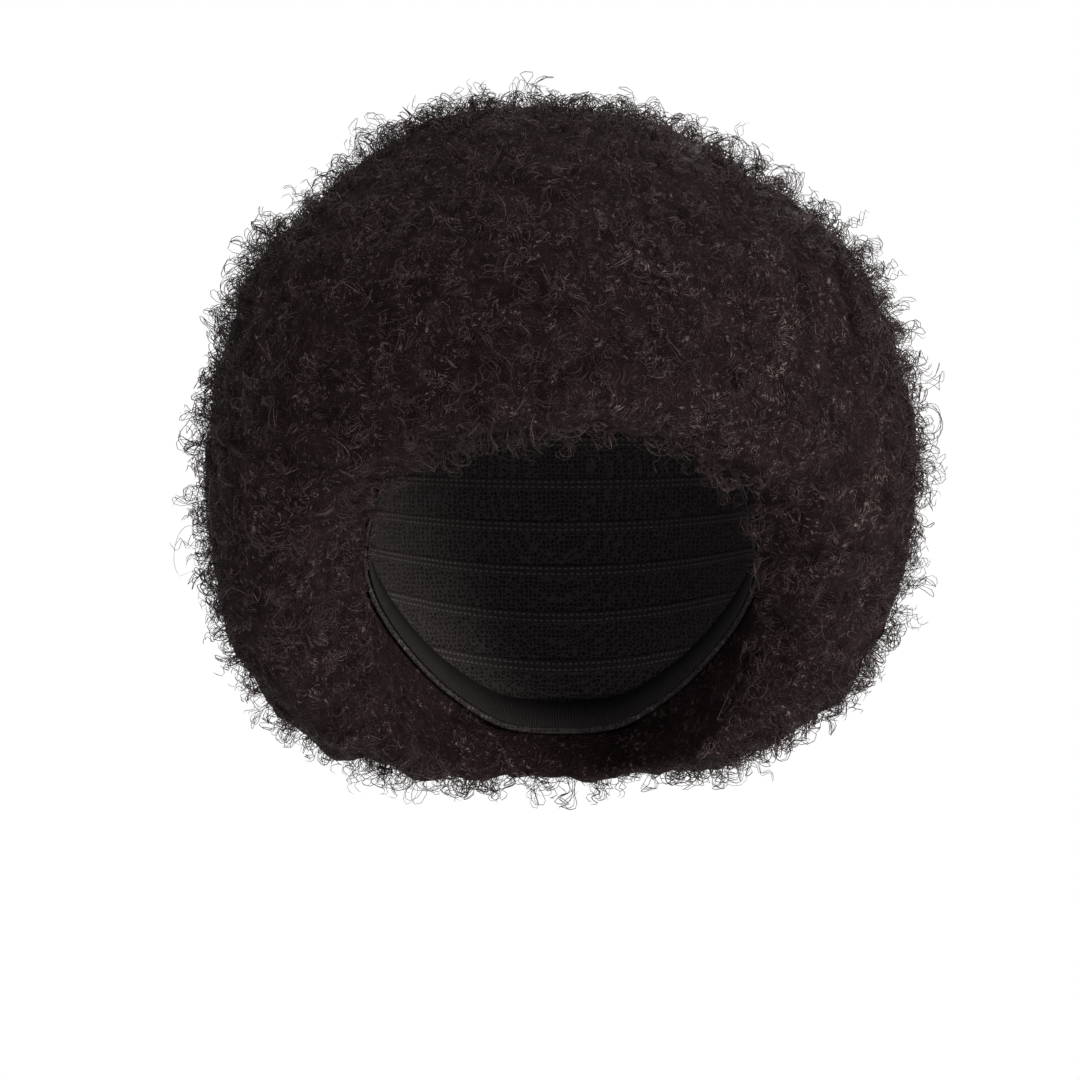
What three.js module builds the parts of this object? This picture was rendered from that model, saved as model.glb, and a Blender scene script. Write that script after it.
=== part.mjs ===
// An afro wig in the shape it takes on a head: a stretch cap, an elastic band inside its rim,
// and rows of curled hair sewn round the cap from the crown down to the nape.
// Millimetres, +Z up, the face towards -Y. The origin is the inside of the cap at the crown.
// A place on the wig is given by its polar angle, down from the crown, and its azimuth, round
// from the middle of the forehead towards +X, both seen from the middle of the head.
import * as THREE from "three";
import { mergeVertices } from "three/addons/utils/BufferGeometryUtils.js";

// The cap, measured inside
const capWidth = 156;
const capLength = 198;
const crownHeight = 82; // from the widest level of the head up to the crown
const napeDepth = 150; // from the widest level down to where the head's form would close
const capWall = 1.6;
const bandWidth = 12;
const bandThickness = 1.2;
const bandClearance = 0.6; // between the band and the cap
const sewingClearance = 0.6; // between the cap and the roots of the hair

// The hair, measured from the middle of the head to the tips of the curls
const hairSide = 140;
const hairFront = 140;
const hairBack = 154;
const lockPitch = 26; // from one lock of curls to the next along a row
const lockRelief = 8.5; // depth of the grooves between the locks
const lockTip = 11; // width of a lock's tip
const lockLean = 2.6; // how far a tip leans to one side
const lockVariety = 4; // how much shorter the shortest locks are
const slantedLocks = 3; // locks at the end of a row that follow the slant of the face
const rowGap = 0.9;
const rootShare = 0.6; // width of a row where it is sewn on, as a share of its width outside
const thinnestHair = 4;
const edgeRound = 40; // how far in from the face the hair is still gaining depth
const edgeShare = 0.42; // depth of the hair at the face, as a share of its full depth

// Polar angles in degrees
const crownPolar = 15;
const hairlinePolar = 85;
const hemPolar = 154;
const rowsAboveHairline = 7;
const rowsBelowHairline = 7;

// Number of faces
const stepsPerLock = 3;
const capFacets = 36;
const capRings = 11;
const crownLocks = 6;

// Reach of the curls at each side, as a share of hairSide
const outline = [
  { polar: 0, left: 0.99, right: 0.99 },
  { polar: 12, left: 1.0, right: 0.985 },
  { polar: 26, left: 1.02, right: 0.96 },
  { polar: 38, left: 1.01, right: 0.95 },
  { polar: 44, left: 0.975, right: 0.96 },
  { polar: 55, left: 1.035, right: 1.0 },
  { polar: 70, left: 0.99, right: 0.985 },
  { polar: 90, left: 0.995, right: 0.99 },
  { polar: 106, left: 1.005, right: 0.99 },
  { polar: 118, left: 1.07, right: 1.03 },
  { polar: 130, left: 1.105, right: 1.06 },
  { polar: 140, left: 1.1, right: 1.045 },
  { polar: 154, left: 0.975, right: 0.98 },
];

// The cap's rim. A drop of 0 is the hairline's polar angle, and 1 is the hem's.
const capRim = [
  { azimuth: 0, drop: -0.035 },
  { azimuth: 15, drop: -0.02 },
  { azimuth: 30, drop: 0.03 },
  { azimuth: 45, drop: 0.1 },
  { azimuth: 56, drop: 0.2 },
  { azimuth: 64, drop: 0.33 },
  { azimuth: 74, drop: 0.42 },
  { azimuth: 84, drop: 0.49 },
  { azimuth: 95, drop: 0.57 },
  { azimuth: 106, drop: 0.64 },
  { azimuth: 120, drop: 0.72 },
  { azimuth: 138, drop: 0.82 },
  { azimuth: 160, drop: 0.9 },
  { azimuth: 180, drop: 0.9 },
];

// The hair's edge round the face, as the azimuth where it starts on either side
const faceEdge = [
  { drop: 0, azimuth: 7 },
  { drop: 0.03, azimuth: 20 },
  { drop: 0.08, azimuth: 34 },
  { drop: 0.15, azimuth: 46 },
  { drop: 0.24, azimuth: 54 },
  { drop: 0.36, azimuth: 61 },
  { drop: 0.5, azimuth: 70 },
  { drop: 0.64, azimuth: 80 },
  { drop: 0.78, azimuth: 88 },
  { drop: 1, azimuth: 95 },
];

const hairMaterial = new THREE.MeshStandardMaterial({ color: 0x2b2122, roughness: 0.6, metalness: 0 });
const capMaterial = new THREE.MeshStandardMaterial({ color: 0x151314, roughness: 0.8, metalness: 0 });
const bandMaterial = new THREE.MeshStandardMaterial({ color: 0x1d1b1c, roughness: 0.7, metalness: 0 });

const { degToRad, radToDeg, lerp, clamp } = THREE.MathUtils;
const headMiddle = new THREE.Vector3(0, 0, -crownHeight);

// The value of one column of a table at a place along another column
function along(table, key, place, column) {
  const next = table.findIndex((row) => row[key] >= place);
  if (next === 0) return table[0][column];
  if (next < 0) return table[table.length - 1][column];
  const [a, b] = [table[next - 1], table[next]];
  return lerp(a[column], b[column], (place - a[key]) / (b[key] - a[key]));
}

const polarAt = (drop) => lerp(hairlinePolar, hemPolar, drop);
const dropAt = (polar) => (polar - hairlinePolar) / (hemPolar - hairlinePolar);
const faceAzimuth = (polar) => along(faceEdge, "drop", dropAt(polar), "azimuth");

function rimPolar(azimuth) {
  const folded = Math.abs(((azimuth + 540) % 360) - 180);
  return polarAt(along(capRim, "azimuth", folded, "drop"));
}

function direction(polar, azimuth) {
  const [p, a] = [degToRad(polar), degToRad(azimuth)];
  return new THREE.Vector3(Math.sin(p) * Math.sin(a), -Math.sin(p) * Math.cos(a), Math.cos(p));
}

// Distance from the middle of the head to the inside of the cap
function headRadius(way) {
  const height = way.z > 0 ? crownHeight : napeDepth;
  return 1 / Math.hypot(way.x / (capWidth / 2), way.y / (capLength / 2), way.z / height);
}

const faceEdgeWays = faceEdge.flatMap((row, i) => {
  const next = faceEdge[Math.min(i + 1, faceEdge.length - 1)];
  return [0, 0.25, 0.5, 0.75].flatMap((share) => {
    const polar = polarAt(lerp(row.drop, next.drop, share));
    const azimuth = lerp(row.azimuth, next.azimuth, share);
    return [direction(polar, azimuth), direction(polar, -azimuth)];
  });
});

// Distance from the middle of the head to the tips of the curls, or with a relief, to the bottom
// of the grooves between the locks
function hairRadius(polar, azimuth, relief) {
  const way = direction(polar, azimuth);
  const toRight = 0.5 + 0.5 * Math.sin(degToRad(azimuth));
  const side = lerp(along(outline, "polar", polar, "left"), along(outline, "polar", polar, "right"), toRight);
  const deep = way.y < 0 ? hairFront : hairBack;
  const full = side * lerp(hairSide, deep, way.y * way.y);
  const root = headRadius(way) + capWall;
  const fromEdge = hairSide * Math.min(...faceEdgeWays.map((edge) => edge.angleTo(way)));
  const inward = 1 - clamp(fromEdge / edgeRound, 0, 1);
  const depth = (full - root) * lerp(edgeShare, 1, Math.sqrt(1 - inward * inward));
  return root + Math.max(depth - relief, thinnestHair);
}

// A number from 0 to 1 that differs from lock to lock
function chance(row, lock, use) {
  const value = Math.sin(row * 12.9898 + lock * 78.233 + use * 37.719) * 43758.5453;
  return value - Math.floor(value);
}

// A geometry with each vertex moved to where place says, as one closed surface
function reshape(geometry, place) {
  const shape = geometry.deleteAttribute("normal").deleteAttribute("uv");
  const positions = shape.attributes.position;
  const point = new THREE.Vector3();
  for (let i = 0; i < positions.count; i += 1) {
    place(point.fromBufferAttribute(positions, i));
    positions.setXYZ(i, point.x, point.y, point.z);
  }
  const merged = mergeVertices(shape, 1e-4);
  const corners = merged.index.array;
  const kept = [];
  for (let i = 0; i < corners.length; i += 3) {
    const [a, b, c] = corners.slice(i, i + 3);
    if (a !== b && b !== c && c !== a) kept.push(a, b, c);
  }
  merged.setIndex(kept);
  merged.computeVertexNormals();
  return merged;
}

function node(name, geometry, material) {
  const mesh = new THREE.Mesh(geometry, material);
  mesh.name = name;
  mesh.position.copy(headMiddle);
  return mesh;
}

// The polar angle of a place on the cap: a share of 0 is the crown, 1 the top of the band and
// 2 the rim
function capPolar(share, azimuth) {
  const rim = rimPolar(azimuth);
  const bandTop = rim - radToDeg(bandWidth / headRadius(direction(rim, azimuth)));
  return share < 1 ? share * bandTop : lerp(bandTop, rim, share - 1);
}

// Turns a place of a lathe, whose radius is a share of the way down the cap and whose height is
// a distance out from the head, into the place on the cap
function onHead(point) {
  const azimuth = radToDeg(Math.atan2(point.x, point.z));
  const way = direction(capPolar(Math.hypot(point.x, point.z), azimuth), azimuth);
  point.copy(way.multiplyScalar(headRadius(way) + point.y));
}

function cap() {
  const shares = Array.from({ length: capRings + 1 }, (_, i) => i / capRings).concat(2);
  const inside = shares.map((share) => new THREE.Vector2(share, 0));
  const outside = shares.map((share) => new THREE.Vector2(share, capWall)).reverse();
  const dome = new THREE.LatheGeometry([...inside, ...outside], capFacets);
  return node("cap", reshape(dome, onHead), capMaterial);
}

function edgeBand() {
  const [outer, inner] = [-bandClearance, -bandClearance - bandThickness];
  const section = [
    new THREE.Vector2(1, inner),
    new THREE.Vector2(1.95, inner),
    new THREE.Vector2(1.95, outer),
    new THREE.Vector2(1, outer),
    new THREE.Vector2(1, inner),
  ];
  return node("edge_band", reshape(new THREE.LatheGeometry(section, capFacets), onHead), bandMaterial);
}

// A vertex of a lock's tip, turned and leaning its own way
function lockTipPlace(row, lock, polar, azimuth, acrossTip, downTip) {
  const shorter = lockVariety * chance(row, lock, 1);
  const turn = Math.PI * (chance(row, lock, 2) - 0.5) * 0.6;
  const leanWay = 2 * Math.PI * chance(row, lock, 3);
  const across = acrossTip * Math.cos(turn) - downTip * Math.sin(turn);
  const down = acrossTip * Math.sin(turn) + downTip * Math.cos(turn);
  const radius = hairRadius(polar, azimuth, shorter);
  const way = direction(polar, azimuth);
  const sideways = direction(90, azimuth + 90);
  const downwards = new THREE.Vector3().crossVectors(sideways, way);
  return way
    .multiplyScalar(radius)
    .addScaledVector(sideways, across * lockTip + lockLean * Math.cos(leanWay))
    .addScaledVector(downwards, down * lockTip + lockLean * Math.sin(leanWay));
}

// A row of hair: a box bent round the cap, with a lock of curls for every few of its steps
function weft(number, top, bottom, from, to) {
  const middle = (top + bottom) / 2;
  const turn = degToRad(to(middle) - from(middle));
  const length = turn * Math.sin(degToRad(middle)) * hairSide;
  const locks = Math.max(4, Math.round(length / lockPitch));
  const columns = locks * stepsPerLock;
  const gap = radToDeg(rowGap / 2 / hairSide);
  const [outerTop, outerBottom] = [top + gap, bottom - gap];
  const taper = ((1 - rootShare) * (bottom - top)) / 2;
  const azimuthAt = (polar, share) => {
    const nearStart = Math.max(0, 1 - (share * locks) / slantedLocks);
    const nearEnd = Math.max(0, 1 - ((1 - share) * locks) / slantedLocks);
    const slant = (from(polar) - from(middle)) * nearStart + (to(polar) - to(middle)) * nearEnd;
    return lerp(from(middle), to(middle), share) + slant;
  };

  const strip = new THREE.BoxGeometry(1, 1, 1, columns, stepsPerLock, 1);
  const geometry = reshape(strip, (point) => {
    const column = Math.round((point.x + 0.5) * columns);
    const down = Math.round((0.5 - point.y) * stepsPerLock);
    if (point.z < 0) {
      // The root has two steps to each lock, and its ends are cut square
      const share = Math.round((2 * column) / stepsPerLock) / (2 * locks);
      const polar = down < stepsPerLock / 2 ? top + taper : bottom - taper;
      const way = direction(polar, azimuthAt(middle, share));
      point.copy(way.multiplyScalar(headRadius(way) + capWall + sewingClearance));
      return;
    }
    const onTip = column % stepsPerLock !== 0 && down % stepsPerLock !== 0;
    if (onTip) {
      const lock = Math.floor(column / stepsPerLock);
      const share = (lock + 0.5) / locks;
      const acrossTip = (column % stepsPerLock) - stepsPerLock / 2;
      const downTip = down - stepsPerLock / 2;
      point.copy(lockTipPlace(number, lock, middle, azimuthAt(middle, share), acrossTip, downTip));
      return;
    }
    const polar = lerp(outerTop, outerBottom, down / stepsPerLock);
    const azimuth = azimuthAt(polar, column / columns);
    point.copy(direction(polar, azimuth).multiplyScalar(hairRadius(polar, azimuth, lockRelief)));
  });
  return node("weft_" + String(number).padStart(2, "0"), geometry, hairMaterial);
}

// The curls over the crown: one lock in the middle and a ring of others round it
function crownCurls() {
  const facets = crownLocks * stepsPerLock;
  const gap = rowGap / 2 / (hairSide * degToRad(crownPolar));
  const rings = [1 - gap, 0.7, 0.36, 0]; // shares of the crown's polar angle, at the curls
  const outside = rings.map((share) => new THREE.Vector2(share, 1));
  const rootEdge = new THREE.Vector2(1 - (1 - rootShare) / 2, 0);
  const disc = new THREE.LatheGeometry([new THREE.Vector2(0, 0), rootEdge, ...outside], facets);
  const geometry = reshape(disc, (point) => {
    const share = Math.hypot(point.x, point.z);
    const azimuth = radToDeg(Math.atan2(point.x, point.z));
    const facet = Math.round(((azimuth + 360) % 360) / (360 / facets)) % facets;
    const way = direction(share * crownPolar, azimuth);
    if (point.y < 0.5) {
      point.copy(way.multiplyScalar(headRadius(way) + capWall + sewingClearance));
      return;
    }
    const isMiddle = share < rings[2] / 2;
    const isRing = Math.abs(share - rings[1]) < 0.1 && facet % stepsPerLock !== 0;
    const lock = isMiddle ? crownLocks : Math.floor(facet / stepsPerLock);
    const shorter = isMiddle || isRing ? lockVariety * chance(0, lock, 1) : lockRelief;
    point.copy(way.multiplyScalar(hairRadius(share * crownPolar, azimuth, shorter)));
  });
  return node("crown_curls", geometry, hairMaterial);
}

// Rows above the hairline go right round, and their two ends meet at the back. Every other
// seam is half a lock further round.
function rowsRoundTheCrown() {
  const depth = (hairlinePolar - crownPolar) / rowsAboveHairline;
  return Array.from({ length: rowsAboveHairline }, (_, i) => {
    const top = crownPolar + i * depth;
    const round = Math.sin(degToRad(top + depth / 2)) * hairSide;
    const seam = radToDeg(rowGap / 2 / (headRadius(direction(top, 180)) * Math.sin(degToRad(top))));
    const shift = (i % 2) * radToDeg(lockPitch / 2 / round);
    return weft(i + 1, top, top + depth, () => shift + seam - 180, () => shift + 180 - seam);
  });
}

// Rows below the hairline run from one side of the face round the back to the other
function rowsRoundTheBack() {
  const depth = (hemPolar - hairlinePolar) / rowsBelowHairline;
  return Array.from({ length: rowsBelowHairline }, (_, i) => {
    const top = hairlinePolar + i * depth;
    return weft(rowsAboveHairline + i + 1, top, top + depth, faceAzimuth, (polar) => 360 - faceAzimuth(polar));
  });
}

const wig = new THREE.Group();
wig.name = "afro_wig";
wig.add(cap(), edgeBand(), crownCurls(), ...rowsRoundTheCrown(), ...rowsRoundTheBack());

export default wig;
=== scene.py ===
import math

import bmesh
import bpy
import numpy as np
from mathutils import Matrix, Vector, noise
from mathutils.bvhtree import BVHTree


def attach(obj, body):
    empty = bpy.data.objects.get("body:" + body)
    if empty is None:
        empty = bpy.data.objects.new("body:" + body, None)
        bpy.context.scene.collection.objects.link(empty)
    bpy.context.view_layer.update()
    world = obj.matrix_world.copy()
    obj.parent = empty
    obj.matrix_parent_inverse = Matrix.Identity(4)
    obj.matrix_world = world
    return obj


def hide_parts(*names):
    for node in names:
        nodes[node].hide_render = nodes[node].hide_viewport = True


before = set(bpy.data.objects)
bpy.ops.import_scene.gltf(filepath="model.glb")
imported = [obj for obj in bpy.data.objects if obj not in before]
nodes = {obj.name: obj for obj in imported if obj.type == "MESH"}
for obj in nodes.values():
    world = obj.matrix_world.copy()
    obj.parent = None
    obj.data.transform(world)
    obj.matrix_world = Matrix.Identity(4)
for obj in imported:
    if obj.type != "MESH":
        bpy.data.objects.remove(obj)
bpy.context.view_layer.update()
hairNodes = ["crown_curls"] + sorted(name for name in nodes if name.startswith("weft_"))
mm = 0.001
weld = 0.01 * mm  # corners of a solid that are closer than this are one corner
print("wig: frame loaded,", len(hairNodes), "rows of hair")


# The inside of the cap: half its width and length, and its height above and below the widest level

capForm = {
    "middle": Vector((0, 0, -82 * mm)),
    "halfWidth": 78 * mm,
    "halfLength": 99 * mm,
    "above": 82 * mm,
    "below": 150 * mm,
}


def capRadius(way):
    tall = capForm["above"] if way.z > 0 else capForm["below"]
    width, length = capForm["halfWidth"], capForm["halfLength"]
    return 1 / math.sqrt((way.x / width) ** 2 + (way.y / length) ** 2 + (way.z / tall) ** 2)


# Camera, floor and light

shot = {
    "place": (-8.4 * mm, -1.89, -113 * mm),
    "turned": (math.radians(90), 0, 0),
    "lens": 164.5,
    "sensor": 36,
}

camera = bpy.data.objects.new("camera", bpy.data.cameras.new("camera"))
bpy.context.scene.collection.objects.link(camera)
camera.location = shot["place"]
camera.rotation_euler = shot["turned"]
camera.data.lens = shot["lens"]
camera.data.sensor_width = shot["sensor"]
bpy.context.scene.camera = camera

studio = {
    "sky": (1.0, 1.0, 1.0),
    "skySeen": 1.0,  # what the camera sees
    "skyLight": 0.42,  # what falls on the wig
    "floorHeight": -0.75,
    "floorReach": 3.4,
    "lights": [
        {"name": "key", "place": (1.35, -1.45, 0.45), "size": 0.45, "watts": 39, "colour": (1.0, 0.95, 0.91)},
        {"name": "fill", "place": (-1.35, -1.4, 0.7), "size": 0.7, "watts": 18, "colour": (1.0, 0.95, 0.93)},
        {"name": "low", "place": (1.5, -1.0, -0.55), "size": 0.6, "watts": 36, "colour": (1.0, 0.95, 0.91)},
        {"name": "top", "place": (0.1, 0.35, 1.5), "size": 0.7, "watts": 16, "colour": (1.0, 1.0, 1.0)},
        {"name": "side", "place": (-1.9, -0.2, 1.1), "size": 0.7, "watts": 12, "colour": (1.0, 0.95, 0.93)},
        {"name": "back", "place": (0.5, 2.2, 0.7), "size": 0.7, "watts": 34, "colour": (1.0, 0.98, 0.96)},
        {"name": "backFill", "place": (-0.7, 2.2, 0.0), "size": 0.7, "watts": 18, "colour": (0.97, 0.98, 1.0)},
    ],
}

world = bpy.data.worlds.new("studio")
bpy.context.scene.world = world
world.use_nodes = True
sky = world.node_tree
background = sky.nodes["Background"]
background.inputs["Color"].default_value = (*studio["sky"], 1)
path = sky.nodes.new("ShaderNodeLightPath")
strength = sky.nodes.new("ShaderNodeMapRange")
strength.inputs["To Min"].default_value = studio["skyLight"]
strength.inputs["To Max"].default_value = studio["skySeen"]
sky.links.new(path.outputs["Is Camera Ray"], strength.inputs["Value"])
sky.links.new(strength.outputs["Result"], background.inputs["Strength"])
bpy.context.scene.view_settings.view_transform = "Standard"

for light in studio["lights"]:
    lamp = bpy.data.objects.new(light["name"], bpy.data.lights.new(light["name"], "AREA"))
    lamp.data.size = light["size"]
    lamp.data.energy = light["watts"]
    lamp.data.color = light["colour"]
    lamp.location = light["place"]
    lamp.rotation_euler = (capForm["middle"] - Vector(light["place"])).to_track_quat("-Z", "Y").to_euler()
    bpy.context.scene.collection.objects.link(lamp)


class Wire:  # one output of a node, so that shader sums can be written as Python
    def __init__(self, finish, socket):
        self.finish = finish
        self.socket = socket

    def sum(self, operation, *terms):
        return self.finish.add("ShaderNodeMath", {"operation": operation}, dict(enumerate(terms)))

    def __add__(self, other):
        return self.sum("ADD", self, other)

    def __sub__(self, other):
        return self.sum("SUBTRACT", self, other)

    def __rsub__(self, other):
        return self.sum("SUBTRACT", other, self)

    def __mul__(self, other):
        return self.sum("MULTIPLY", self, other)

    def __pow__(self, other):
        return self.sum("POWER", self, other)

    def sine(self):
        return self.sum("SINE", self)

    __radd__ = __add__
    __rmul__ = __mul__


class Finish:  # a material, with the one method that adds its nodes
    def __init__(self, name):
        self.material = bpy.data.materials.new(name)
        self.material.use_nodes = True
        self.tree = self.material.node_tree
        self.tree.nodes.clear()

    def add(self, kind, settings=None, inputs=None, output=0):
        made = self.tree.nodes.new(kind)
        for key, value in (settings or {}).items():
            setattr(made, key, value)
        for key, value in (inputs or {}).items():
            if isinstance(value, Wire):
                self.tree.links.new(value.socket, made.inputs[key])
            else:
                made.inputs[key].default_value = value
        return Wire(self, made.outputs[output]) if made.outputs else None

    def mix(self, share, first, second):
        return self.add("ShaderNodeMix", {"data_type": "RGBA"}, {0: share, 6: first, 7: second}, 2)

    def noise(self, place, scale, detail, distortion=0):
        return self.add("ShaderNodeTexNoise", {}, {
            "Vector": place, "Scale": scale, "Detail": detail, "Distortion": distortion,
        })

    def fade(self, value, start, end, first=0.0, last=1.0):
        return self.add("ShaderNodeMapRange", {"clamp": True}, {0: value, 1: start, 2: end, 3: first, 4: last})

    def relief(self, height, strength, depth):
        return self.add("ShaderNodeBump", {}, {"Height": height, "Strength": strength, "Distance": depth})

    def attribute(self, name):
        return self.add("ShaderNodeAttribute", {"attribute_name": name}, {}, "Fac")

    def place(self):
        return self.add("ShaderNodeTexCoord", {}, {}, "Object")

    def close(self, **inputs):
        inputs = {key.replace("_", " "): value for key, value in inputs.items()}
        shader = self.add("ShaderNodeBsdfPrincipled", {}, inputs)
        self.add("ShaderNodeOutputMaterial", {}, {"Surface": shader})
        return self.material


floorLook = {
    "specks": 9,  # to the metre
    "dark": (0.86, 0.86, 0.86, 1),
    "pale": (0.9, 0.9, 0.9, 1),
    "roughness": 0.9,
    "sides": 96,
}


def floorFinish():
    finish = Finish("pale_floor")
    speck = finish.noise(finish.place(), floorLook["specks"], 4)
    colour = finish.mix(speck, floorLook["dark"], floorLook["pale"])
    return finish.close(Base_Color=colour, Roughness=floorLook["roughness"])


floorShape = bmesh.new()
bmesh.ops.create_circle(floorShape, cap_ends=True, segments=floorLook["sides"], radius=studio["floorReach"])
bmesh.ops.translate(floorShape, vec=(0, 0, studio["floorHeight"]), verts=floorShape.verts)
floor = bpy.data.objects.new("floor", bpy.data.meshes.new("floor"))
floorShape.to_mesh(floor.data)
floorShape.free()
floor.data.materials.append(floorFinish())
bpy.context.scene.collection.objects.link(floor)
print("wig: camera, floor and lights")


# Finishes of the hair

strandFinish = {
    "dark": (0.0112, 0.0058, 0.0064, 1),
    "pale": (0.128, 0.094, 0.091, 1),
    "roughness": 0.4,
    "unevenRoughness": 0.3,
    "gloss": 0.13,
    "grain": (3.2, 1.1, 40),  # across a strand, along it, and from strand to strand
    "paleStrands": 0.5,  # how pale the palest strands are all along
    "strandGlintAt": 0.56,  # where the grain of a strand is higher than this, a pale painted glint lies
    "strandGlintContrast": 3.0,
    "relief": (0.5, 0.2 * mm),  # strength and depth
}


def strandMaterial():
    finish = Finish("curled_fibre")
    tone = finish.attribute("tone")
    grain = finish.add("ShaderNodeCombineXYZ", {}, {
        0: finish.attribute("across") * strandFinish["grain"][0],
        1: finish.attribute("along") * strandFinish["grain"][1],
        2: tone * strandFinish["grain"][2],
    })
    fibres = finish.noise(grain, 1, 2)
    # painted highlight: short pale glints broken along each strand, painted into the base colour
    specks = (fibres - strandFinish["strandGlintAt"]) * strandFinish["strandGlintContrast"]
    share = finish.add("ShaderNodeClamp", {}, {0: (tone ** 4) * strandFinish["paleStrands"] + specks})
    colour = finish.mix(share, strandFinish["dark"], strandFinish["pale"])
    return finish.close(
        Base_Color=colour,
        Roughness=strandFinish["roughness"] + (fibres - 0.5) * strandFinish["unevenRoughness"],
        Specular_IOR_Level=strandFinish["gloss"],
        Normal=finish.relief(fibres, *strandFinish["relief"]),
    )


tangleFinish = {
    "dark": (0.0086, 0.0046, 0.0053, 1),
    "pale": (0.092, 0.073, 0.071, 1),
    "swirls": [(100, 120), (170, 85)],  # to the metre, and the fibres round each, for two layers of fibres
    "weaves": 330,  # to the metre, where one layer passes over the other
    "weaveEdge": (0.47, 0.53),
    "breaks": 420,  # to the metre, where a fibre dips below its neighbours
    "clusters": 75,  # to the metre, where the painted glints gather
    "clusterShare": 0.45,
    "glintAt": 0.765,  # where breaks and clusters together are higher than this, a pale painted glint lies
    "glintContrast": 5.4,
    "fibreToneAndSheen": 0.24,
    "hollow": 0.6,  # painted shade: the share of the colour that is left between two tufts
    "roughness": 0.7,
    "gloss": 0.02,
    "relief": (0.8, 0.9 * mm),  # strength and depth
}


def tangleMaterial():
    finish = Finish("tangled_fibre")
    layers = []
    for scale, count in tangleFinish["swirls"]:
        swirl = finish.noise(finish.place(), scale, 1.5, 0.7)
        layers.append((swirl * count).sine() * 0.5 + 0.5)
    over = finish.fade(finish.noise(finish.place(), tangleFinish["weaves"], 1), *tangleFinish["weaveEdge"])
    fibres = layers[0] * (1 - over) + layers[1] * over
    breaks = finish.noise(finish.place(), tangleFinish["breaks"], 2)
    clusters = finish.noise(finish.place(), tangleFinish["clusters"], 1)
    # painted highlight: pale glints where fibres would catch the light, painted into the base colour
    paintedGlints = breaks + clusters * tangleFinish["clusterShare"] - tangleFinish["glintAt"]
    paintedGlints = (fibres ** 4) * paintedGlints.sum("MAXIMUM", paintedGlints, 0) * tangleFinish["glintContrast"]
    # the pale along the fibre swirls is partly the fibres' own tone and partly painted sheen
    share = finish.add("ShaderNodeClamp", {}, {0: (fibres ** 2) * breaks * tangleFinish["fibreToneAndSheen"] + paintedGlints})
    colour = finish.mix(share, tangleFinish["dark"], tangleFinish["pale"])
    # painted shade: darker in the hollows between tufts, less the further out a tuft stands
    lit = finish.attribute("proud") * (1 - tangleFinish["hollow"]) + tangleFinish["hollow"]
    colour = finish.mix(lit, (0, 0, 0, 1), colour)
    return finish.close(
        Base_Color=colour,
        Roughness=tangleFinish["roughness"],
        Specular_IOR_Level=tangleFinish["gloss"],
        Normal=finish.relief(fibres * 0.5 + breaks, *tangleFinish["relief"]),
    )


# The dense hair below the curls: the solids of the rows grown into one another, with the grooves
# between them closed

mass = {
    "grown": 0.8 * mm,
    "voxel": 2.6 * mm,
    "smoothing": 0.5,
    "rounds": 26,
    "outerRounds": 60,
    "outerDepth": 30 * mm,  # further from the cap's inside than this is the outer side
    "offCap": 2.6 * mm,  # least distance from the inside of the cap
    "grownBack": 0.7 * mm,  # what the smoothing took off
    "edgeGrownBack": 3.2 * mm,
    "edgeGrownForward": 3.0 * mm,
    "edge": 16 * mm,  # nearer to the cap's inside than this is the edge of the hair
    "inward": (1.4, 1.2),  # how fast the growth fades out on a surface that turns to the cap, and from where
    "lumps": [(19 * mm, 1.8 * mm), (6 * mm, 0.8 * mm)],  # width and height
    "tufts": [(11 * mm, 1.8 * mm), (5.2 * mm, 1.4 * mm)],
    "proudAt": 1.7 * mm,  # a tuft this high gets no painted shade, and one this low gets the most
}


def showPiece(name, mesh, material):
    mesh.materials.append(material)
    piece = bpy.data.objects.new(name, mesh)
    bpy.context.scene.collection.objects.link(piece)
    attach(piece, "root")
    return piece


def dropSpecks(shape):  # the small shells that the remesh closes off inside the hair
    shells, seen = [], set()
    for vert in shape.verts:
        if vert in seen:
            continue
        seen.add(vert)
        shell = [vert]
        for member in shell:
            for edge in member.link_edges:
                other = edge.other_vert(member)
                if other not in seen:
                    seen.add(other)
                    shell.append(other)
        shells.append(shell)
    shells.sort(key=len)
    bmesh.ops.delete(shape, geom=[vert for shell in shells[:-1] for vert in shell], context="VERTS")


def smoothed(shape, verts, rounds):
    for turn in range(rounds):
        bmesh.ops.smooth_vert(
            shape, verts=verts, factor=mass["smoothing"], use_axis_x=True, use_axis_y=True, use_axis_z=True,
        )


def fusedRows():
    shape = bmesh.new()
    for name in hairNodes:
        shape.from_mesh(nodes[name].data)
    bmesh.ops.remove_doubles(shape, verts=shape.verts, dist=weld)
    shape.normal_update()
    for vert in shape.verts:
        vert.co += vert.normal * mass["grown"]
    rows = bpy.data.objects.new("rows", bpy.data.meshes.new("rows"))
    shape.to_mesh(rows.data)
    shape.clear()
    bpy.context.scene.collection.objects.link(rows)
    remesh = rows.modifiers.new("remesh", "REMESH")
    remesh.mode, remesh.voxel_size = "VOXEL", mass["voxel"]
    fused = rows.evaluated_get(bpy.context.evaluated_depsgraph_get())
    shape.from_mesh(fused.data)
    bpy.data.objects.remove(rows)
    dropSpecks(shape)
    return shape


def depthOf(vert):  # from the inside of the cap
    out = vert.co - capForm["middle"]
    return out.length - capRadius(out.normalized())


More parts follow.
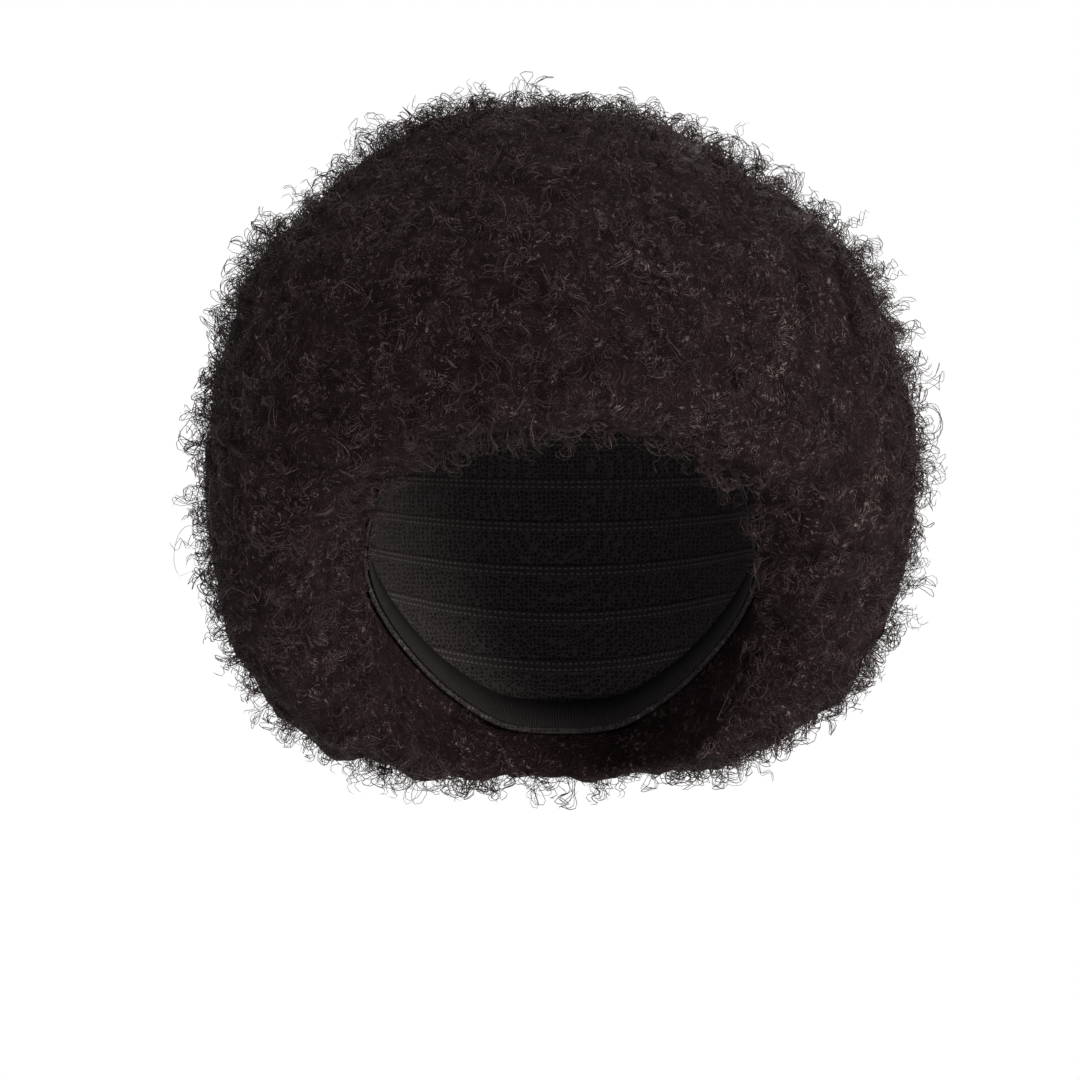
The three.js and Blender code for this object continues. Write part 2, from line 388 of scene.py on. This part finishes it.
def hairMass():
    shape = fusedRows()
    smoothed(shape, shape.verts, mass["rounds"])
    outer = [vert for vert in shape.verts if depthOf(vert) > mass["outerDepth"]]
    smoothed(shape, outer, mass["outerRounds"])
    shape.normal_update()
    proud = []
    for vert in shape.verts:
        out = vert.co - capForm["middle"]
        way = out.normalized()
        facing = min(1, max(0, vert.normal.dot(way) * mass["inward"][0] + mass["inward"][1]))
        atEdge = min(1, max(0, 1 - depthOf(vert) / mass["edge"]))
        lump = sum(noise.noise(vert.co / width) * height for width, height in mass["lumps"])
        tuft = sum((0.5 - noise.voronoi(vert.co / width)[0][0]) * height for width, height in mass["tufts"])
        # how far out the tuft stands, which sets the painted shade between tufts
        proud.append(min(1, max(0, 0.5 + tuft / mass["proudAt"])))
        lump += tuft
        atEdge *= mass["edgeGrownBack"] + mass["edgeGrownForward"] * max(0, -vert.normal.y)
        moved = out + vert.normal * (lump + mass["grownBack"] + atEdge) * facing
        way = moved.normalized()
        vert.co = capForm["middle"] + way * max(moved.length, capRadius(way) + mass["offCap"])
    for face in shape.faces:
        face.smooth = True
    mesh = bpy.data.meshes.new("hair_mass")
    shape.to_mesh(mesh)
    shape.free()
    mesh.attributes.new("proud", "FLOAT", "POINT").data.foreach_set("value", proud)
    piece = showPiece("hair_mass", mesh, tangleMaterial())
    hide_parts(*hairNodes)
    return piece


massPiece = hairMass()
print("wig: dense hair,", len(massPiece.data.polygons) * 2, "triangles")


# The curls: each strand starts in the dense hair, and winds out of it in a loose helix. Three
# strands run together as a lock

curls = {
    "seed": 11,
    "locks": 6200,
    "strandsInLock": 3,
    "triedPlaces": 5,  # for each lock
    "started": 1.1 * mm,  # how far below the surface a strand starts
    "thickness": 0.7,  # share of the width
    "widthAtRest": 1.15,  # share of the width where a strand may not stand up at all
    "thinned": 0.03,  # share of the width, for each mm that a strand may stand up
    "tip": (0.25, 5),  # share of the width at the very tip, and how fast the rest is reached
    "clear": 0.2 * mm,
    "openTo": 5 * mm,  # a surface with nothing this close in front of it lies open
    "offCap": 1.2 * mm,
    "edge": 14 * mm,  # nearer to the cap's inside than this is the edge of the hair, where locks stand closer
    "edgeShare": 2.0,
    "insideFacing": -0.3,  # a surface that turns to the cap more than this is an inside
    "insideShare": 1.1,
    "bareFacing": -0.6,  # and more than this, it is bare right next to the cap
    "bareDepth": 5 * mm,
    "sideFacing": 0.45,
    "sideShare": 1.7,  # where the outline lies, seen from the front
    "tallest": 15,  # mm
    "tuftWidth": 13 * mm,
    "tuftRange": (0.55, 1.36),  # how tall the locks of a tuft stand, against the rest
    "tuftContrast": 1.6,
    "uneven": {  # how much the strands of one lock, or the locks, differ from one another
        "axis": 0.12,
        "side": 0.1,
        "turns": (0.9, 1.1),
        "radius": (0.85, 1.15),
        "lockAngle": (-1.2, 1.2),
        "angle": 0.15,
        "swell": 0.18,
        "swells": (0.6, 1.3),
    },
    "kinds": {  # radius, rise, width, spread and top in mm
        "wisp": {
            "share": 0.19, "sections": 5, "upright": 1.1, "radius": (1.8, 4.0), "turns": (0.5, 0.75),
            "rise": (3.0, 11.0), "slowing": 0.6, "falls": 0, "width": (0.24, 0.40), "spread": 2.4, "top": (3.0, 11.0),
        },
        "frizz": {
            "share": 0.23, "sections": 8, "upright": 0.9, "radius": (0.7, 1.35), "turns": (1.4, 1.9),
            "rise": (1.4, 3.8), "slowing": 0.8, "falls": 0, "width": (0.24, 0.38), "spread": 2.0, "top": (2.5, 9.0),
        },
        "fly": {
            "share": 0.21, "sections": 9, "upright": 1.7, "radius": (1.0, 2.0), "turns": (1.5, 1.9),
            "rise": (3.8, 7.6), "slowing": 0.5, "falls": 0, "width": (0.29, 0.43), "spread": 2.4, "top": (5.0, 13.5),
        },
        "arch": {
            "share": 0.20, "sections": 9, "upright": 1.6, "radius": (1.3, 3.0), "turns": (0.95, 1.4),
            "rise": (8.0, 17.0), "slowing": 0.6, "falls": 0.8, "width": (0.32, 0.47), "spread": 1.6, "top": (7.0, 14.5),
        },
        "curl": {
            "share": 0.08, "sections": 8, "upright": 0.4, "radius": (1.7, 3.4), "turns": (0.8, 1.1),
            "rise": (0.8, 4.0), "slowing": 1, "falls": 0, "width": (0.26, 0.42), "spread": 0.8, "top": (3.0, 10.0),
        },
        "loop": {
            "share": 0.09, "sections": 10, "upright": 0.2, "radius": (3.0, 5.6), "turns": (0.75, 1.05),
            "rise": (0.5, 4.0), "slowing": 1, "falls": 0, "width": (0.30, 0.46), "spread": 0.5, "top": (6.0, 12.5),
        },
    },
}
chance = np.random.default_rng(curls["seed"])


def unit(vectors):
    return vectors / np.linalg.norm(vectors, axis=-1, keepdims=True)


def surfacePlaces(mesh, count):
    mesh.calc_loop_triangles()
    corners = np.empty(len(mesh.loop_triangles) * 3, int)
    mesh.loop_triangles.foreach_get("vertices", corners)
    places = np.empty(len(mesh.vertices) * 3)
    mesh.vertices.foreach_get("co", places)
    faces = places.reshape(-1, 3)[corners].reshape(-1, 3, 3)
    normals = np.cross(faces[:, 1] - faces[:, 0], faces[:, 2] - faces[:, 0])
    doubled = np.linalg.norm(normals, axis=1)
    picked = chance.choice(len(faces), count, p=doubled / doubled.sum())
    first, second = np.sqrt(chance.random((count, 1))), chance.random((count, 1))
    a, b, c = (faces[picked, corner] for corner in range(3))
    return a * (1 - first) + b * first * (1 - second) + c * first * second, unit(normals[picked])


def capDistances(lines):  # the way to each point from the middle of the cap, and how far off the cap is there
    ways = unit(lines - np.array(capForm["middle"]))
    tall = np.where(ways[..., 2] > 0, capForm["above"], capForm["below"])
    scaled = [ways[..., 0] / capForm["halfWidth"], ways[..., 1] / capForm["halfLength"], ways[..., 2] / tall]
    return ways, 1 / np.linalg.norm(np.stack(scaled, -1), axis=-1)


def curlLines(points, normals, kind):
    locks, count = len(points), len(points) * curls["strandsInLock"]
    uneven = curls["uneven"]

    def eachLock(pair, columns=1):
        return np.repeat(chance.uniform(*pair, (locks, columns)), curls["strandsInLock"], axis=0)

    tall = [1 + noise.noise(Vector(point) / curls["tuftWidth"]) * curls["tuftContrast"] for point in points]
    tall = np.clip(tall, *curls["tuftRange"])
    points, normals, tall = (np.repeat(values, curls["strandsInLock"], axis=0) for values in (points, normals, tall))
    axis = unit(eachLock((-1, 1), 3) + normals * kind["upright"])
    axis = unit(axis + chance.normal(size=(count, 3)) * uneven["axis"])
    side = unit(np.cross(axis, normals + chance.normal(size=(count, 3)) * uneven["side"]))
    other = np.cross(axis, side)
    step = np.linspace(0, 1, kind["sections"])[None, :]
    turns = eachLock(kind["turns"]) * chance.uniform(*uneven["turns"], (count, 1))
    radius = eachLock(kind["radius"]) * chance.uniform(*uneven["radius"], (count, 1)) * mm
    angle = math.pi / 2 + eachLock(uneven["lockAngle"]) + chance.normal(size=(count, 1)) * uneven["angle"]
    angle = angle + 2 * math.pi * turns * step * np.where(eachLock((-1, 1)) > 0, 1, -1)
    swells = chance.uniform(*uneven["swells"], (count, 1)) * step + eachLock((0, 1))
    swell = 1 + uneven["swell"] * np.sin(2 * math.pi * swells)
    outward = np.cos(angle)[:, :, None] * side[:, None] + np.sin(angle)[:, :, None] * other[:, None]
    climb = step ** kind["slowing"] - kind["falls"] * step ** 3
    climb = climb * eachLock(kind["rise"]) * turns * tall[:, None] * mm
    lines = outward * (radius * swell)[:, :, None] + axis[:, None] * climb[:, :, None]
    lines -= lines[:, :1]

    # A strand starts below the surface, and one that would stand too high starts deeper
    top = (lines * normals[:, None]).sum(2).max(1) - curls["started"]
    highest = np.minimum(eachLock(kind["top"])[:, 0] * tall, curls["tallest"])
    lowered = np.maximum(0, top - highest * mm)
    start = points + chance.normal(size=(count, 3)) * kind["spread"] / 2 * mm
    lines += (start - normals * (curls["started"] + lowered)[:, None])[:, None]
    ways, reach = capDistances(lines)
    least = (reach + curls["offCap"])[..., None]
    distance = np.linalg.norm(lines - np.array(capForm["middle"]), axis=-1, keepdims=True)
    lines = np.array(capForm["middle"]) + ways * np.maximum(distance, least)
    share = curls["widthAtRest"] - highest * curls["thinned"]
    return lines, outward, chance.uniform(*kind["width"], count) * share * mm


def tubes(lines, outward, width):  # corners, faces and attributes of one kind of strand
    count, sections = lines.shape[:2]
    along = unit(np.gradient(lines, axis=1))
    out = unit(outward - along * (outward * along).sum(2, keepdims=True))
    sideways = np.cross(along, out)
    step = np.linspace(0, 1, sections)
    taper = np.clip(curls["tip"][0] + (1 - step) * curls["tip"][1], 0, 1)
    halfWidth = (width[:, None] / 2 * taper)[:, :, None]
    edges = [
        lines + out * halfWidth * curls["thickness"] * math.cos(turn) + sideways * halfWidth * math.sin(turn)
        for turn in (-math.pi / 3, math.pi / 3, math.pi)
    ]
    vertices = np.stack(edges, 2).reshape(-1, 3)

    first = np.arange(count)[:, None, None] * sections * 3 + np.arange(sections - 1)[None, :, None] * 3
    edge, following = np.arange(3)[None, None], np.array([1, 2, 0])[None, None]
    quads = np.stack([first + edge, first + following, first + following + 3, first + edge + 3], 3).reshape(-1, 4)
    start = np.arange(count)[:, None] * sections * 3
    ends = np.concatenate([start + [0, 2, 1], start + (sections - 1) * 3 + [0, 1, 2]])
    lengths = np.linalg.norm(np.diff(lines, axis=1), axis=2).mean(1)
    values = {
        "tone": np.repeat(chance.random(count), sections * 3),
        "along": (np.arange(sections)[None, :, None] * lengths[:, None, None] / mm + np.zeros((1, 1, 3))).ravel(),
        "across": np.tile([-1.0, 1.0, 0.0], count * sections),
    }
    return vertices, quads, ends, values


def curlPiece(name, batches):
    vertices, faces, values = [], [], {}
    for lines, outward, width in batches:
        corners, quads, ends, attributes = tubes(lines, outward, width)
        shift = sum(len(part) for part in vertices)
        vertices.append(corners)
        faces += (quads + shift).tolist() + (ends + shift).tolist()
        for key, value in attributes.items():
            values.setdefault(key, []).append(value)
    mesh = bpy.data.meshes.new(name)
    mesh.from_pydata(np.concatenate(vertices), [], faces)
    mesh.polygons.foreach_set("use_smooth", np.ones(len(mesh.polygons), bool))
    for key, parts in values.items():
        mesh.attributes.new(key, "FLOAT", "POINT").data.foreach_set("value", np.concatenate(parts).astype(np.float32))
    return showPiece(name, mesh, curlMaterial)


def treeOf(meshes):
    shape, owners = bmesh.new(), []
    for mesh in meshes:
        shape.from_mesh(mesh)
        owners += [mesh.name] * (len(shape.faces) - len(owners))
    tree = BVHTree.FromBMesh(shape)
    shape.free()
    return tree, owners


curlMaterial = strandMaterial()
shownTree, _ = treeOf([massPiece.data, nodes["cap"].data, nodes["edge_band"].data])
rowTree, rowOwners = treeOf([nodes[name].data for name in hairNodes])
meshRows = {nodes[name].data.name: name for name in hairNodes}

points, normals = surfacePlaces(massPiece.data, curls["locks"] * curls["triedPlaces"])
isOpen = [
    shownTree.ray_cast(Vector(point + normal * curls["clear"]), Vector(normal), curls["openTo"])[0] is None
    for point, normal in zip(points, normals)
]
ways, reach = capDistances(points)
depth = np.linalg.norm(points - np.array(capForm["middle"]), axis=1) - reach
facing = (normals * ways).sum(1)
chances = np.where(depth < curls["edge"], curls["edgeShare"], 1)
chances = np.where(facing < curls["insideFacing"], curls["insideShare"], chances) * isOpen
chances = chances * ((facing > curls["bareFacing"]) | (depth > curls["bareDepth"]))
chances = chances * np.where(np.abs(normals[:, 1]) < curls["sideFacing"], curls["sideShare"], 1)
picked = chance.choice(len(points), curls["locks"], replace=False, p=chances / chances.sum())
points, normals = points[picked], normals[picked]
rows = np.array([meshRows[rowOwners[rowTree.find_nearest(Vector(point))[2]]] for point in points])
kinds = list(curls["kinds"].values())
kindOf = chance.choice(len(kinds), len(points), p=[kind["share"] for kind in kinds])
triangles = 0
for name in hairNodes:
    batches = []
    for index, kind in enumerate(kinds):
        chosen = (rows == name) & (kindOf == index)
        if chosen.any():
            batches.append(curlLines(points[chosen], normals[chosen], kind))
    piece = curlPiece(name + "_curls", batches)
    triangles += sum(len(face.vertices) - 2 for face in piece.data.polygons)
print("wig: locks", len(points), "triangles of curls", triangles)


# Loops that stand out from the outline, and hang over the edge in front, each of a few strands
# with both ends in the hair

strays = {
    "sections": 19,
    "width": (0.27 * mm, 0.42 * mm),
    "apart": 0.75 * mm,
    "uneven": 0.09,  # share of the size
    "unevenWaves": 2.3,
    "sizes": (0.82, 1.12),
    "swing": (-2.5, 2.5),  # mm, forward and back
    "swings": 1.3,
    "late": (-15, 15),  # degrees
    "loops": [  # the middle, and half the width and height, in mm, and the angles that it runs between
        {"strands": 1, "middle": (-142.3, 0, -119), "half": (6.2, 9.6), "sweep": (10, 250)},
        {"strands": 4, "middle": (140.8, 0, -67.7), "half": (5.0, 6.8), "sweep": (140, -160)},
        {"strands": 5, "middle": (-125.8, 0, -17), "half": (4.2, 4.2), "sweep": (-20, 300)},
        {"strands": 4, "middle": (-116.3, 0, 1.5), "half": (3.2, 4.0), "sweep": (10, 240)},
        {"strands": 5, "middle": (-66.2, 0, 40.2), "half": (5.0, 4.8), "sweep": (-20, 200)},
        {"strands": 5, "middle": (-32, 0, 51.5), "half": (7.5, 6.0), "sweep": (5, 190)},
        {"strands": 5, "middle": (9, 0, 52.0), "half": (8.0, 5.6), "sweep": (0, 185)},
        {"strands": 6, "middle": (64.2, 0, 35.8), "half": (6.0, 5.2), "sweep": (-40, 180)},
        {"strands": 6, "middle": (86, 0, 22.8), "half": (5.6, 5.8), "sweep": (-60, 150)},
        {"strands": 4, "middle": (101.4, 0, 12.0), "half": (4.0, 4.2), "sweep": (-60, 160)},
        {"strands": 2, "middle": (-18.5, -98, -73.5), "half": (4.6, 3), "sweep": (170, 380)},
        {"strands": 3, "middle": (7, -98, -66.5), "half": (6.5, 5.2), "sweep": (175, 370)},
        {"strands": 2, "middle": (33.5, -96, -77), "half": (5.6, 4.8), "sweep": (165, 395)},
        {"strands": 3, "middle": (-52, -86, -81), "half": (8, 5.5), "sweep": (150, 330)},
    ],
}


def strayLines(loop):
    middle, half = Vector(loop["middle"]) * mm, loop["half"]
    middle.y = shownTree.find_nearest(middle)[0].y
    made = []
    for strand in range(loop["strands"]):
        shift = Vector(chance.normal(size=3)) * strays["apart"]
        size = chance.uniform(*strays["sizes"])
        swing, wave = chance.uniform(*strays["swing"]), chance.uniform(0, 2 * math.pi)
        angles = np.linspace(*loop["sweep"], strays["sections"] - 2) + chance.uniform(*strays["late"])
        line = []
        for angle in np.radians(angles):
            out = size * (1 + strays["uneven"] * math.sin(angle * strays["unevenWaves"] + wave))
            forward = math.sin(angle * strays["swings"]) * swing
            turned = Vector((math.cos(angle) * half[0], forward, math.sin(angle) * half[1]))
            line.append(middle + shift + turned * out * mm)
        ends = [shownTree.find_nearest(end)[:2] for end in (line[0], line[-1])]
        first, last = (near - normal * curls["started"] for near, normal in ends)
        made.append([first] + line + [last])
    lines = np.array(made)
    outward = unit(lines - np.array(middle))
    return lines, outward, chance.uniform(*strays["width"], len(lines))


curlPiece("stray_curls", map(strayLines, strays["loops"]))
print("wig: stray loops", len(strays["loops"]))


# The cap, a net with sewn tapes inside, and the ribbed elastic band in its rim

capLook = {
    "net": (0.0070, 0.0057, 0.0060, 1),
    "thread": (0.028, 0.0235, 0.0245, 1),
    "tape": (0.017, 0.0143, 0.0149, 1),
    "stitch": (0.060, 0.053, 0.055, 1),
    "mesh": 560,  # openings to the metre
    "uneven": 0.6,
    "firstTrack": 15,  # degrees down from the crown
    "trackPitch": 10,
    "trackShare": 0.24,  # of the pitch that a sewn tape covers
    "trackEdge": 0.02,
    "seam": (0.012, 0.03),  # where a seam ends, as a share of the pitch from its middle
    "dash": (-0.5, 0.1),  # where a stitch starts, as heights of the wave that runs along the seam
    "stitches": 230,  # round the cap
    "threads": (0.05, 0.2),
    "roughness": 0.8,
    "gloss": 0.1,
    "heights": (0.4, 0.8, 0.5),  # of the threads, the tapes and the stitches
    "relief": (0.9, 0.6 * mm),  # strength and depth
}


def capFinish():
    finish = Finish("stretch_net")
    away = finish.add("ShaderNodeVectorMath", {"operation": "SUBTRACT"}, {0: finish.place(), 1: capForm["middle"]})
    way = finish.add("ShaderNodeVectorMath", {"operation": "NORMALIZE"}, {0: away})
    along = [finish.add("ShaderNodeSeparateXYZ", {}, {0: way}, axis) for axis in range(3)]
    polar = along[2].sum("ARCCOSINE", along[2]) * math.degrees(1)
    azimuth = along[0].sum("ARCTAN2", along[0], along[1] * -1)
    row = (polar - capLook["firstTrack"]) * (1 / capLook["trackPitch"])
    offTrack = row.sum("PINGPONG", row, 0.5)
    half = capLook["trackShare"] / 2
    tape = finish.fade(offTrack, half, half + capLook["trackEdge"], 1.0, 0.0)
    offSeam = offTrack - half / 2
    seam = finish.fade(offSeam.sum("ABSOLUTE", offSeam), *capLook["seam"], 1.0, 0.0)
    stitch = seam * finish.fade((azimuth * capLook["stitches"]).sine(), *capLook["dash"])
    cells = finish.add("ShaderNodeTexVoronoi", {"feature": "DISTANCE_TO_EDGE"}, {
        "Vector": finish.place(), "Scale": capLook["mesh"], "Randomness": capLook["uneven"],
    })
    threads = finish.fade(cells, *capLook["threads"], 1.0, 0.0)
    colour = finish.mix(threads, capLook["net"], capLook["thread"])
    colour = finish.mix(tape, colour, capLook["tape"])
    colour = finish.mix(stitch, colour, capLook["stitch"])
    threadHeight, tapeHeight, stitchHeight = capLook["heights"]
    height = threads * threadHeight + tape * tapeHeight + stitch * stitchHeight
    return finish.close(
        Base_Color=colour,
        Roughness=capLook["roughness"],
        Specular_IOR_Level=capLook["gloss"],
        Normal=finish.relief(height, *capLook["relief"]),
    )


bandLook = {
    "groove": (0.0035, 0.0030, 0.0031, 1),
    "rib": (0.0125, 0.0108, 0.0110, 1),
    "ribs": 420,  # round the cap
    "unevenness": 160,  # to the metre
    "roughness": 0.75,
    "gloss": 0.12,
    "relief": (0.7, 0.5 * mm),  # strength and depth
}


def bandFinish():
    finish = Finish("ribbed_elastic")
    along = [finish.add("ShaderNodeSeparateXYZ", {}, {0: finish.place()}, axis) for axis in range(3)]
    azimuth = along[0].sum("ARCTAN2", along[0], along[1] * -1)
    uneven = finish.noise(finish.place(), bandLook["unevenness"], 2)
    ribs = (azimuth * bandLook["ribs"] + uneven * 5).sine() * 0.5 + 0.5
    colour = finish.mix(ribs, bandLook["groove"], bandLook["rib"])
    return finish.close(
        Base_Color=colour,
        Roughness=bandLook["roughness"],
        Specular_IOR_Level=bandLook["gloss"],
        Normal=finish.relief(ribs + uneven, *bandLook["relief"]),
    )


sewing = {
    "join": math.radians(40),  # triangles of the solid that lie flatter than this are one face
    "corner": math.radians(50),  # edges sharper than this stay as they are
    "crease": 0.85,
    "levels": 1,
}


def sewnPiece(node, name, material):
    shape = bmesh.new()
    shape.from_mesh(nodes[node].data)
    bmesh.ops.remove_doubles(shape, verts=shape.verts, dist=weld)
    bmesh.ops.join_triangles(
        shape, faces=shape.faces,
        cmp_seam=False, cmp_sharp=False, cmp_uvs=False, cmp_vcols=False, cmp_materials=False,
        angle_face_threshold=sewing["join"], angle_shape_threshold=sewing["corner"],
    )
    shape.normal_update()
    creases = shape.edges.layers.float.new("crease_edge")
    for edge in shape.edges:
        if edge.calc_face_angle(0) > sewing["corner"]:
            edge[creases] = sewing["crease"]
    for face in shape.faces:
        face.smooth = True
    mesh = bpy.data.meshes.new(name)
    shape.to_mesh(mesh)
    shape.free()
    piece = showPiece(name, mesh, material)
    smooth = piece.modifiers.new("smooth", "SUBSURF")  # which keeps the creased edges
    smooth.levels = smooth.render_levels = sewing["levels"]
    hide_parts(node)


sewnPiece("cap", "stretch_cap", capFinish())
sewnPiece("edge_band", "elastic_band", bandFinish())
print("wig: cap and band")
